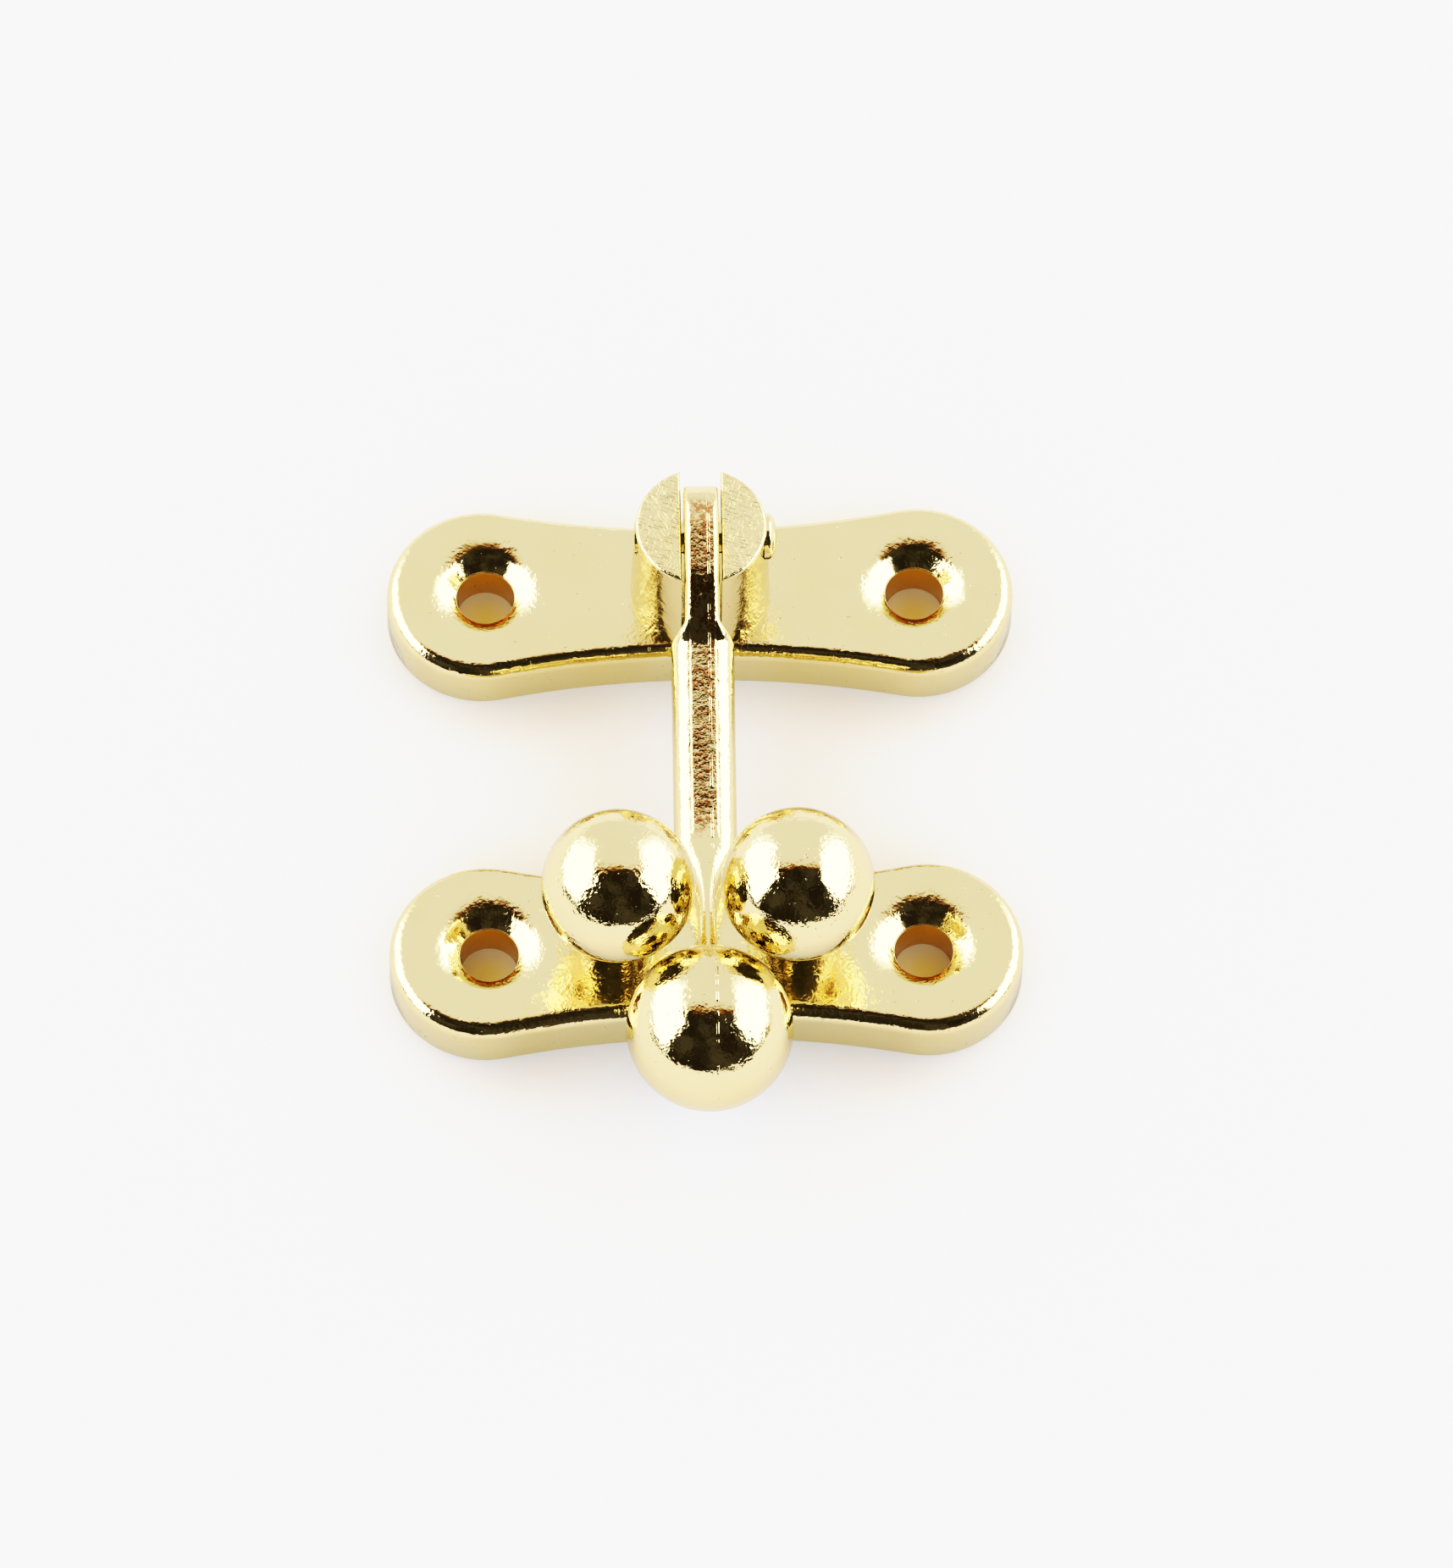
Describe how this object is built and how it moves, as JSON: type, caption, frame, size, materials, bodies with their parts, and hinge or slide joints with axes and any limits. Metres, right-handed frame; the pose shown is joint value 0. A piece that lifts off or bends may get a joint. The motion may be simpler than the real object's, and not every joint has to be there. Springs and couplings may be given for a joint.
{
  "type": "three-ball swing latch",
  "caption": "Small swing latch: an arm with a ball end pivots in a slotted post on one plate and drops between two ball studs on the other.",
  "frame": {"origin": "on the mounting plane, under the middle of the whole latch as it lies closed", "axes": "+X along the plates to the right, +Y from the catch side to the hinge side, +Z out of the mounting plane"},
  "size_m": [0.035, 0.0398, 0.0147],
  "materials": {
    "plate_brass": "pale brass plating on a thin cast shell, bright with a faint satin haze",
    "cast_brass": "pale brass plating on a casting, bright, with fine casting grain and a parting line",
    "polished_brass": "pale brass plating, mirror polished, with fine pits"
  },
  "bodies": {
    "catch_side": {"catch_plate": "plate_brass", "catch_stud_left": "polished_brass", "catch_stud_right": "polished_brass"},
    "hinge_side": {"hinge_plate": "plate_brass", "hinge_post": "cast_brass", "pivot_pin": "cast_brass"},
    "arm": {"latch_arm": "cast_brass"}
  },
  "joints": [
    {"name": "catch_release", "type": "slide", "parent": "catch_side", "child": "hinge_side", "axis": [0, 0, 1], "range_m": [0, 0.015]},
    {"name": "arm_swing", "type": "hinge", "parent": "hinge_side", "child": "arm", "pos_m": [0, 0.01458, 0.00912], "axis": [-1, 0, 0], "range_deg": [0, 188]}
  ]
}
